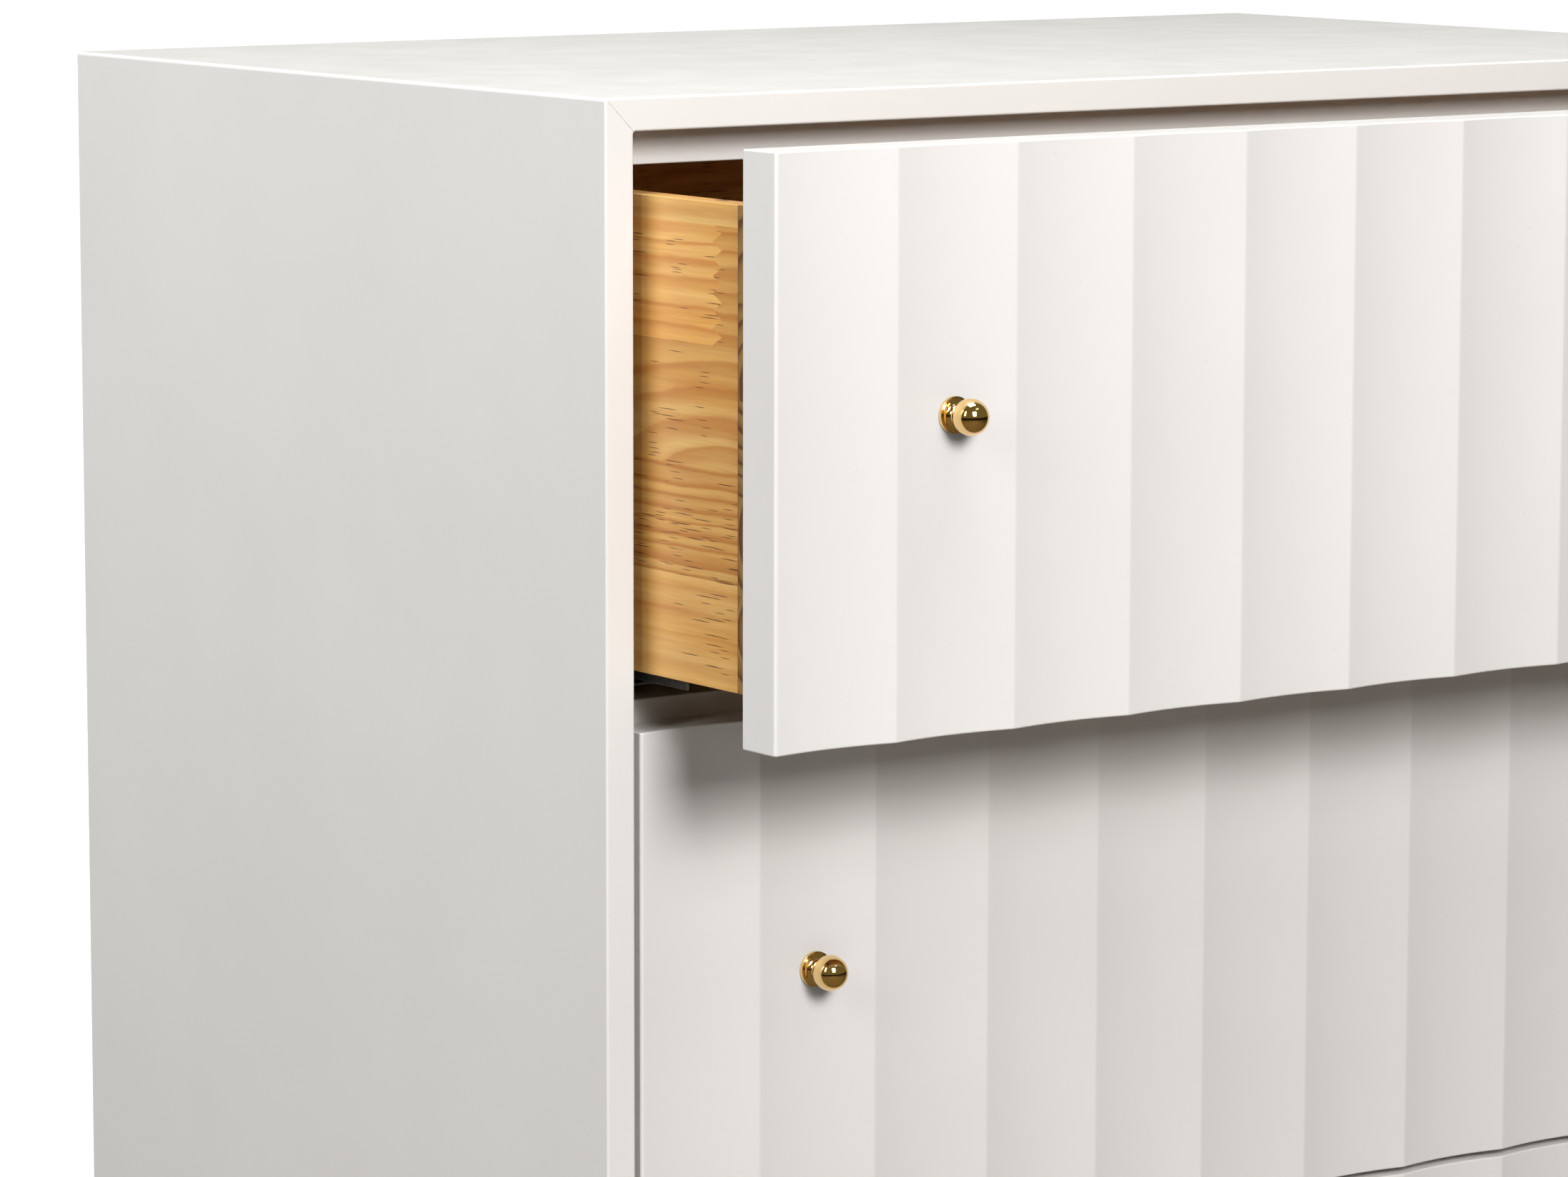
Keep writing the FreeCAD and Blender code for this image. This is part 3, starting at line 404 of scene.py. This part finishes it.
def zinc_material():
    """Zinc-plated steel strip: rolling lines along its length and a faint crystal spangle."""
    shader = Shader("zinc_plated_steel")
    axes = shader.split(shader.coords)
    lines_at = shader.join(shader.math("MULTIPLY", axes[0], 1600.0), shader.math("MULTIPLY", axes[1], 40.0),
                           shader.math("MULTIPLY", axes[2], 1600.0))
    lines = shader.noise(lines_at, detail=3.0, roughness=0.6)
    spangle = shader.add("ShaderNodeTexVoronoi")
    shader.feed(spangle.inputs["Vector"], shader.coords)
    spangle.inputs["Scale"].default_value = 260.0
    tint = shader.mix(shader.between(lines, 0.3, 0.7), ZINC_DARK, ZINC_LIGHT)
    facets = shader.mix(SPANGLE_SHARE, tint, spangle.outputs["Color"], "SOFT_LIGHT")
    rough = shader.between(lines, 0.3, 0.7, 0.28, 0.42)
    return shader.surface(Base_Color=facets, Metallic=1.0, Roughness=rough,
                          Normal=shader.bump(lines, 0.01 * MM))


PLASTIC_DARK = (0.035, 0.035, 0.036)
PLASTIC_LIGHT = (0.06, 0.06, 0.062)


def plastic_material():
    """Dark moulded plastic with a fine spark-eroded grain."""
    shader = Shader("moulded_glide_plastic")
    grain = shader.noise(shader.coords, scale=1500.0, detail=3.0)
    cloud = shader.noise(shader.coords, scale=90.0)
    colour = shader.mix(cloud, PLASTIC_DARK, PLASTIC_LIGHT)
    return shader.surface(Base_Color=colour, Roughness=shader.between(grain, 0.3, 0.7, 0.45, 0.6),
                          Normal=shader.bump(grain, 0.03 * MM))


LACQUER = lacquer_material()
BRASS = brass_material()
ZINC = zinc_material()
PLASTIC = plastic_material()
MATERIAL_OF = {"white_lacquer": LACQUER, "polished_brass": BRASS, "zinc_steel": ZINC,
               "glide_plastic": PLASTIC}


# ---------------------------------------------------------------- mesh helpers


SHARP_ANGLE = math.radians(34)
NORMAL_WEIGHT = 80
MERGE_DISTANCE = 0.002 * MM
FLAT_ANGLE = math.radians(0.5)
CORNER_ANGLE = math.radians(60)
EASE_STEPS = 5


def finish_piece(piece, node, material):
    """Shade a piece, ride it on its node's body and let it stand for the node."""
    mesh = piece.data
    mesh.materials.clear()
    mesh.materials.append(material)
    mesh.polygons.foreach_set("use_smooth", [True] * len(mesh.polygons))
    mesh.set_sharp_from_angle(angle=SHARP_ANGLE)
    weigh = piece.modifiers.new("weighted_normals", "WEIGHTED_NORMAL")
    weigh.keep_sharp = True
    weigh.weight = NORMAL_WEIGHT
    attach(piece, BODY_OF[node])
    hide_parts(node)
    return piece


def piece_from(name, bm, node, material):
    """A finished object from a mesh in the making."""
    bmesh.ops.recalc_face_normals(bm, faces=bm.faces)
    mesh = bpy.data.meshes.new(name)
    bm.to_mesh(mesh)
    bm.free()
    piece = bpy.data.objects.new(name, mesh)
    bpy.context.scene.collection.objects.link(piece)
    return finish_piece(piece, node, material)


def softened(node, material, radius, shortest=4 * MM, segments=3):
    """A new piece with a node's exact shape, its flat faces merged and its long edges eased."""
    bm = bmesh.new()
    bm.from_mesh(frame["nodes"][node].data)
    bmesh.ops.remove_doubles(bm, verts=bm.verts, dist=MERGE_DISTANCE)
    bmesh.ops.dissolve_limit(bm, angle_limit=FLAT_ANGLE, verts=bm.verts, edges=bm.edges)
    edges = []
    for edge in bm.edges:
        if len(edge.link_faces) == 2 and edge.calc_length() > shortest:
            if edge.calc_face_angle() > CORNER_ANGLE and edge.is_convex:
                edges.append(edge)
    bmesh.ops.bevel(bm, geom=edges, offset=radius, offset_type="OFFSET", segments=segments,
                    profile=0.5, affect="EDGES", clamp_overlap=True)
    return piece_from(f"{node}_finished", bm, node, material)


def ring_faces(bm, rings):
    """Quads between closed rings of vertices that all have the same count."""
    for lower, upper in zip(rings, rings[1:]):
        for index in range(len(lower)):
            after = (index + 1) % len(lower)
            bm.faces.new((lower[index], lower[after], upper[after], upper[index]))


def strip_cap(bm, ring):
    """Close a ring whose first half faces its second half, with quads across it."""
    half = len(ring) // 2
    for index in range(half - 1):
        bm.faces.new((ring[index], ring[index + 1], ring[-2 - index], ring[-1 - index]))


def eased(radius, steps):
    """(how far along, how far in) for the rings that round an edge, from the face to the side."""
    turns = [math.pi / 2 * step / steps for step in range(steps + 1)]
    return [(radius * (1 - math.cos(turn)), radius * (1 - math.sin(turn))) for turn in turns]


# ---------------------------------------------------------------- case boards

BOARD = 16 * MM
OUTER_ARRIS = 2 * MM
FRONT_ARRIS = 1.2 * MM
INNER_ROUND = 1.6 * MM
RABBET = 8 * MM
MITRE_VEE = 0.16 * MM
MITRE_VEE_DEPTH = 0.5 * MM
ARC_STEPS = 6
RAIL_EASE = 0.8 * MM
PLINTH_EASE = 0.6 * MM
PANEL_EASE = 0.5 * MM
PANEL_SHORTEST_EDGE = 20 * MM


def mitred_half(half, inset, notch, back_step):
    """Half a board's section at one depth, from mid-length out to the mitre and back.

    Gives two lists of (along, from the outer face) pairs: half of the outer arris, then half of the
    small inside round. The notch draws the mitre back to leave a fine groove.
    """
    eighth = [math.pi / 4 * step / ARC_STEPS for step in range(ARC_STEPS + 1)]
    outer = [(half - OUTER_ARRIS + (OUTER_ARRIS - inset) * math.sin(turn) - notch * step / ARC_STEPS,
              OUTER_ARRIS - (OUTER_ARRIS - inset) * math.cos(turn)) for step, turn in enumerate(eighth)]
    inner_face = BOARD - back_step
    centre = (half - inner_face - INNER_ROUND, inner_face + INNER_ROUND)
    reach = INNER_ROUND + inset
    inner = [(centre[0] + reach * math.sin(turn) - notch * step / ARC_STEPS,
              centre[1] - reach * math.cos(turn)) for step, turn in enumerate(eighth)]
    return outer, inner


def make_case_board(node, along, outward, half, middle):
    """A mitred board: its section at each depth, joined from the front edge to the back."""
    low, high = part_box(node)
    front, back = low.y, high.y
    rings = [(front + depth, inset, MITRE_VEE * max(0.0, 1 - depth / MITRE_VEE_DEPTH), 0.0)
             for depth, inset in eased(FRONT_ARRIS, EASE_STEPS)]
    rings += [(back - RABBET, 0.0, 0.0, 0.0), (back - RABBET, 0.0, 0.0, RABBET),
              (back, 0.0, 0.0, RABBET)]
    bm = bmesh.new()
    loops = []
    for y, inset, notch, back_step in rings:
        outer, inner = mitred_half(half, inset, notch, back_step)
        chain_out = [(-s, t) for s, t in reversed(outer)] + outer
        chain_in = [(-s, t) for s, t in reversed(inner)] + inner
        loop = chain_out + chain_in[::-1]
        points = []
        for s, t in loop:
            place = middle + along * s - outward * t
            points.append(bm.verts.new((place.x, y, place.z)))
        loops.append(points)
    ring_faces(bm, loops)
    strip_cap(bm, loops[0])
    strip_cap(bm, loops[-1])
    return piece_from(f"{node}_board", bm, node, LACQUER)


def make_case():
    """Four mitred boards, the rails, the plinth and the back panel."""
    left_low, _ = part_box("case_left_side")
    _, right_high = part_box("case_right_side")
    _, top_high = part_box("case_top")
    bottom_low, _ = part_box("case_bottom")
    half_width = (right_high.x - left_low.x) / 2
    half_height = (top_high.z - bottom_low.z) / 2
    mid_z = (top_high.z + bottom_low.z) / 2
    x_axis, z_axis = Vector((1, 0, 0)), Vector((0, 0, 1))
    make_case_board("case_top", x_axis, z_axis, half_width, Vector((0, 0, top_high.z)))
    make_case_board("case_bottom", x_axis, -z_axis, half_width, Vector((0, 0, bottom_low.z)))
    make_case_board("case_left_side", z_axis, -x_axis, half_height, Vector((left_low.x, 0, mid_z)))
    make_case_board("case_right_side", z_axis, x_axis, half_height, Vector((right_high.x, 0, mid_z)))
    for node in ("top_rail", "upper_rail", "lower_rail"):
        softened(node, LACQUER, RAIL_EASE)
    for node in ("plinth_front", "plinth_back", "plinth_left", "plinth_right"):
        softened(node, LACQUER, PLINTH_EASE)
    softened("back_panel", LACQUER, PANEL_EASE, shortest=PANEL_SHORTEST_EDGE)


# ---------------------------------------------------------------- fluted fronts

FRONT_THICKNESS = 26.5 * MM
FLUTES = 11
FLUTE_DEPTH = 3.5 * MM
CREST_RADIUS = 4.5 * MM
END_ARRIS = 1.5 * MM
BACK_ARRIS = 1.0 * MM
TOP_ARRIS = 0.9 * MM
COVE_STEPS = 14
CREST_STEPS = 4
END_STEPS = 6


def arc(centre, radius, start, end, steps):
    """Points on an arc whose angle is measured from -Y towards +X."""
    turns = [start + (end - start) * step / steps for step in range(steps + 1)]
    return [(centre[0] + radius * math.sin(turn), centre[1] - radius * math.cos(turn)) for turn in turns]


def fluted_section(width, inset):
    """The front's outline in plan, moved in by an inset: the fluted face, then the back face."""
    pitch = width / FLUTES
    cove = pitch * pitch / (8 * FLUTE_DEPTH) + FLUTE_DEPTH / 2
    cove_y = FLUTE_DEPTH - cove
    crest_angle = math.asin(pitch / 2 / (cove + CREST_RADIUS))
    crest_y = cove_y + (cove + CREST_RADIUS) * math.cos(crest_angle)
    end_x = width / 2 - END_ARRIS
    last_cove_x = width / 2 - pitch / 2
    end_angle = math.asin((end_x - last_cove_x) / (cove + END_ARRIS))
    end_y = cove_y + (cove + END_ARRIS) * math.cos(end_angle)
    face = arc((-end_x, end_y), END_ARRIS - inset, -math.pi / 2, end_angle, END_STEPS)
    for flute in range(FLUTES):
        cove_x = (flute + 0.5) * pitch - width / 2
        left = end_angle if flute == 0 else crest_angle
        right = end_angle if flute == FLUTES - 1 else crest_angle
        turns = [-left + (left + right) * step / COVE_STEPS for step in range(COVE_STEPS + 1)]
        sweep = [(cove_x + (cove + inset) * math.sin(turn), cove_y + (cove + inset) * math.cos(turn))
                 for turn in turns]
        face += sweep[1:-1]
        if flute < FLUTES - 1:
            crest = ((flute + 1) * pitch - width / 2, crest_y)
            face += arc(crest, CREST_RADIUS - inset, -crest_angle, crest_angle, CREST_STEPS)
    face += arc((end_x, end_y), END_ARRIS - inset, -end_angle, math.pi / 2, END_STEPS)
    corner = (width / 2 - BACK_ARRIS, FRONT_THICKNESS - BACK_ARRIS)
    quarter = [math.pi / 2 * step / END_STEPS for step in range(END_STEPS + 1)]
    right_back = [(corner[0] + (BACK_ARRIS - inset) * math.cos(turn),
                   corner[1] + (BACK_ARRIS - inset) * math.sin(turn)) for turn in quarter]
    flat = [(x, FRONT_THICKNESS - inset) for x, _ in face[END_STEPS + 1:-END_STEPS - 1]]
    left_back = [(-x, y) for x, y in right_back[::-1]]
    return face + right_back + flat[::-1] + left_back


def make_front(name):
    """A drawer's front: its fluted outline in plan, taken up from the lower edge to the upper one."""
    node = f"{name}_front"
    low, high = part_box(node)
    width = high.x - low.x
    crest_plane = high.y - FRONT_THICKNESS
    bm = bmesh.new()
    edge = eased(TOP_ARRIS, EASE_STEPS - 1)
    levels = [(low.z + rise, inset) for rise, inset in edge]
    levels += [(high.z - rise, inset) for rise, inset in reversed(edge)]
    loops = []
    for z, inset in levels:
        outline = fluted_section(width, inset)
        loops.append([bm.verts.new((x, crest_plane + y, z)) for x, y in outline])
    ring_faces(bm, loops)
    strip_cap(bm, loops[0])
    strip_cap(bm, loops[-1])
    return piece_from(f"{node}_fluted", bm, node, LACQUER)


# ---------------------------------------------------------------- knobs

# lengths here are in millimetres, as (radius, distance out) where there are two; make_knobs scales them
KNOB_LENGTH = 22.0
ROSETTE_RADIUS = 8.8
COVE_EDGE = (7.35, 1.95)
COVE_SIZE = (3.35, 2.75)
BEAD_CENTRE = (4.0, 5.2)
BEAD_SIZE = (0.75, 0.45)
BALL_RADIUS = 8.75
NECK_RADIUS = 3.95
ON_AXIS = 1e-6
COVE_RINGS = 10
BEAD_RINGS = 8
BALL_RINGS = 40
TURN_STEPS = 72


def knob_profile():
    """(radius, distance out from the rosette's back) down a turned knob, in millimetres."""
    rosette = [(0.0, 0.0), (8.45, 0.0), (8.7, 0.1), (ROSETTE_RADIUS, 0.35), (ROSETTE_RADIUS, 1.75),
               (8.72, 2.0), (8.5, 2.12), (8.2, 2.12), (8.05, 2.02), (7.95, 1.8), (7.8, 1.72), (7.55, 1.8)]
    cove = []
    for step in range(COVE_RINGS + 1):
        turn = math.pi / 2 * step / COVE_RINGS
        cove.append((COVE_EDGE[0] - COVE_SIZE[0] * math.sin(turn),
                     COVE_EDGE[1] + COVE_SIZE[1] * (1 - math.cos(turn))))
    bead = []
    for step in range(BEAD_RINGS + 1):
        turn = math.pi * step / BEAD_RINGS
        bead.append((BEAD_CENTRE[0] + BEAD_SIZE[0] * math.sin(turn),
                     BEAD_CENTRE[1] - BEAD_SIZE[1] * math.cos(turn)))
    neck = math.asin(NECK_RADIUS / BALL_RADIUS)
    ball = []
    for step in range(BALL_RINGS + 1):
        turn = (math.pi - neck) * (1 - step / BALL_RINGS)
        ball.append((BALL_RADIUS * math.sin(turn),
                     KNOB_LENGTH - BALL_RADIUS + BALL_RADIUS * math.cos(turn)))
    return rosette + cove + bead + ball


def make_knobs(name):
    """A drawer's two turned brass knobs."""
    node = f"{name}_knobs"
    low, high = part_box(node)
    back = high.y
    z = (low.z + high.z) / 2
    bm = bmesh.new()
    for x in (low.x + ROSETTE_RADIUS * MM, high.x - ROSETTE_RADIUS * MM):
        rings = []
        for radius, out in knob_profile():
            if radius < ON_AXIS:
                rings.append([bm.verts.new((x, back - out * MM, z))])
                continue
            ring = []
            for step in range(TURN_STEPS):
                turn = 2 * math.pi * step / TURN_STEPS
                ring.append(bm.verts.new((x + radius * MM * math.cos(turn), back - out * MM,
                                          z + radius * MM * math.sin(turn))))
            rings.append(ring)
        ring_faces(bm, rings[1:-1])
        for tip, ring in ((rings[0][0], rings[1]), (rings[-1][0], rings[-2])):
            for step in range(TURN_STEPS):
                bm.faces.new((tip, ring[step], ring[(step + 1) % TURN_STEPS]))
    return piece_from(f"{node}_turned", bm, node, BRASS)


# ---------------------------------------------------------------- drawers and hardware

SEEDS_PER_DRAWER = 20
STEEL_EASE = 0.35 * MM


def make_drawer(name, index):
    """A front, its knobs and a pine box. The left side of the top drawer has the staves in full view."""
    make_front(name)
    make_knobs(name)
    floor_low, floor_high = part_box(f"{name}_box_bottom")
    floor_width = (floor_high.y - floor_low.y) / MM
    side_low, side_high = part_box(f"{name}_box_left")
    height = (side_high.z - side_low.z) / MM
    seed = SEEDS_PER_DRAWER * index
    boards = (
        ("left", (1, 2, 0), SIDE_STAVES if name == "top" else plain_staves(height, 5, seed), 0.5 * MM),
        ("right", (1, 2, 0), plain_staves(height, 4, seed + 1), 0.5 * MM),
        ("front", (0, 2, 1), plain_staves(height, 5, seed + 2), 0.4 * MM),
        ("back", (0, 2, 1), plain_staves(height, 4, seed + 3), 0.5 * MM),
        ("bottom", (0, 1, 2), plain_staves(floor_width, 7, seed + 4), 0.3 * MM),
    )
    for board_index, (part, axes, staves, ease) in enumerate(boards):
        node = f"{name}_box_{part}"
        pine = Pine(f"pine_{node}", node, *axes, staves, seed + board_index)
        softened(node, pine.finish(), ease)


def make_hardware():
    """Slides, screws and glides keep their CAD shapes, with the long steel edges eased."""
    for node in frame["nodes"]:
        if "member" in node:
            softened(node, ZINC, STEEL_EASE, segments=2)
    for node, thing in frame["nodes"].items():
        if node.endswith("screws") or node == "glides":
            thing.data.materials.clear()
            thing.data.materials.append(MATERIAL_OF[SLOT_OF[node]])


# ---------------------------------------------------------------- studio


FLOOR_REACH = 60.0
FLOOR_FADE = (1.0, 3.2)
FLOOR_GLOW = (0.25, 1.05)
FLOOR_SEEN = (0.82, 0.82, 0.81)
FLOOR_BOUNCED = (0.22, 0.21, 0.20)
FLOOR_MIRRORED = (0.13, 0.10, 0.05)


def make_floor():
    """A wide pale floor that fades to plain white where it meets the background.

    It is darker to the light it bounces and to what the brass mirrors, as in a studio with a dark floor.
    """
    mesh = bpy.data.meshes.new("studio_floor")
    corners = [(x * FLOOR_REACH, y * FLOOR_REACH, 0) for x, y in ((-1, -1), (1, -1), (1, 1), (-1, 1))]
    mesh.from_pydata(corners, [], [(0, 1, 2, 3)])
    floor = bpy.data.objects.new("studio_floor", mesh)
    bpy.context.scene.collection.objects.link(floor)
    shader = Shader("pale_studio_floor")
    distance = shader.add("ShaderNodeVectorMath", operation="LENGTH")
    shader.feed(distance.inputs[0], shader.coords)
    strength = shader.between(distance.outputs["Value"], *FLOOR_FADE, *FLOOR_GLOW)
    glow = shader.add("ShaderNodeEmission")
    path = shader.add("ShaderNodeLightPath")
    shader.feed(glow.inputs["Color"], (1.0, 1.0, 1.0, 1.0))
    seen = path.outputs["Is Camera Ray"]
    shader.feed(glow.inputs["Strength"], shader.math("MULTIPLY", seen, strength))
    shader.surface(Roughness=0.8, Specular_IOR_Level=0.1)
    pale = shader.mix(seen, FLOOR_BOUNCED, FLOOR_SEEN)
    pale = shader.mix(path.outputs["Is Glossy Ray"], pale, FLOOR_MIRRORED)
    shader.feed(shader.principled.inputs["Base Color"], pale)
    add = shader.add("ShaderNodeAddShader")
    shader.tree.links.new(shader.principled.outputs[0], add.inputs[0])
    shader.tree.links.new(glow.outputs[0], add.inputs[1])
    output = [node for node in shader.tree.nodes if node.type == "OUTPUT_MATERIAL"][0]
    shader.tree.links.new(add.outputs[0], output.inputs["Surface"])
    mesh.materials.append(shader.material)


AMBIENT = (0.004, 0.004, 0.004)
DARK_ROOM = (0.15, 0.13, 0.07)
BACKDROP = (1.05, 1.05, 1.05)


def make_world():
    """White to the camera, a dim brown room to polished brass, and almost nothing to the rest."""
    world = bpy.data.worlds.new("studio_world")
    world.use_nodes = True
    nodes = Nodes(world.node_tree)
    path = nodes.add("ShaderNodeLightPath")
    room = nodes.mix(path.outputs["Is Glossy Ray"], AMBIENT, DARK_ROOM)
    colour = nodes.mix(path.outputs["Is Camera Ray"], room, BACKDROP)
    nodes.feed(world.node_tree.nodes["Background"].inputs["Color"], colour)
    bpy.context.scene.world = world


# each light's turn to the left of straight ahead and its height above level (degrees), its distance and
# size (metres), its power (watts) and its colour
SOFTBOXES = {
    "key": (13, 22, 3.0, (0.9, 0.9), 57, (1.0, 0.962, 0.948)),
    "high_key": (13, 29, 3.0, (1.1, 0.9), 25, (0.96, 0.985, 1.0)),
    "left_strip": (72, 26, 3.0, (0.35, 1.3), 13.5, (0.98, 0.96, 0.93)),
    "right_high": (-20, 50, 3.0, (0.9, 0.30), 2, (1.0, 0.98, 0.96)),
    "overhead": (0, 84, 2.2, (1.2, 0.8), 32, (0.97, 0.99, 1.0)),
    "left_rear": (109, 27, 2.6, (1.2, 1.3), 36, (0.965, 0.985, 1.0)),
    "right_rear": (-112, 10, 3.0, (1.2, 1.2), 26, (0.98, 0.99, 1.0)),
    "rear": (180, 10, 3.0, (1.4, 1.2), 20, (0.98, 0.99, 1.0)),
}
AIM_ACROSS = 0.5
AIM_UP = 0.75


def make_lights():
    """Area lights round a point on the fronts' upper left quarter, all turned towards it."""
    low, high = (Vector(corner) for corner in cad_box)
    target = Vector((low.x * AIM_ACROSS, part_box("case_top")[0].y, high.z * AIM_UP))
    for name, (turn, rise, distance, extent, watts, colour) in SOFTBOXES.items():
        turn, rise = math.radians(turn), math.radians(rise)
        level = Vector((-math.sin(turn), -math.cos(turn), 0.0))
        direction = level * math.cos(rise) + Vector((0.0, 0.0, math.sin(rise)))
        light = bpy.data.lights.new(name, "AREA")
        light.shape = "RECTANGLE"
        light.size, light.size_y = extent
        light.energy = watts
        light.color = colour
        holder = bpy.data.objects.new(name, light)
        holder.location = target + direction * distance
        holder.rotation_euler = direction.to_track_quat("Z", "Y").to_euler()
        holder.visible_camera = False
        bpy.context.scene.collection.objects.link(holder)


CAMERA_FROM_CORNER = Vector((-1.5704, -2.3306, 0.1686))
CAMERA_TURN = 35.67
CAMERA_TILT = -8.06
CAMERA_ROLL = 0.09
CAMERA_LENS = 138.97
SENSOR_WIDTH = 36.0
CAMERA_REACH = 200.0


def make_camera():
    """Long lens from the front left, a little above the chest's top, on its upper left corner."""
    low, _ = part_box("case_left_side")
    _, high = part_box("case_top")
    corner = Vector((low.x, low.y, high.z))
    camera = bpy.data.cameras.new("photo_camera")
    camera.sensor_fit = "HORIZONTAL"
    camera.sensor_width = SENSOR_WIDTH
    camera.lens = CAMERA_LENS
    camera.clip_end = CAMERA_REACH
    holder = bpy.data.objects.new("photo_camera", camera)
    turn = Matrix.Rotation(math.radians(-CAMERA_TURN), 4, "Z")
    tilt = Matrix.Rotation(math.radians(90 + CAMERA_TILT), 4, "X")
    roll = Matrix.Rotation(math.radians(CAMERA_ROLL), 4, "Z")
    holder.matrix_world = Matrix.Translation(corner + CAMERA_FROM_CORNER) @ turn @ tilt @ roll
    bpy.context.scene.collection.objects.link(holder)
    bpy.context.scene.camera = holder


make_case()
for drawer_index, drawer_name in enumerate(DRAWERS):
    make_drawer(drawer_name, drawer_index)
make_hardware()
make_floor()
make_world()
make_lights()
make_camera()
bpy.context.scene.view_settings.view_transform = "Standard"
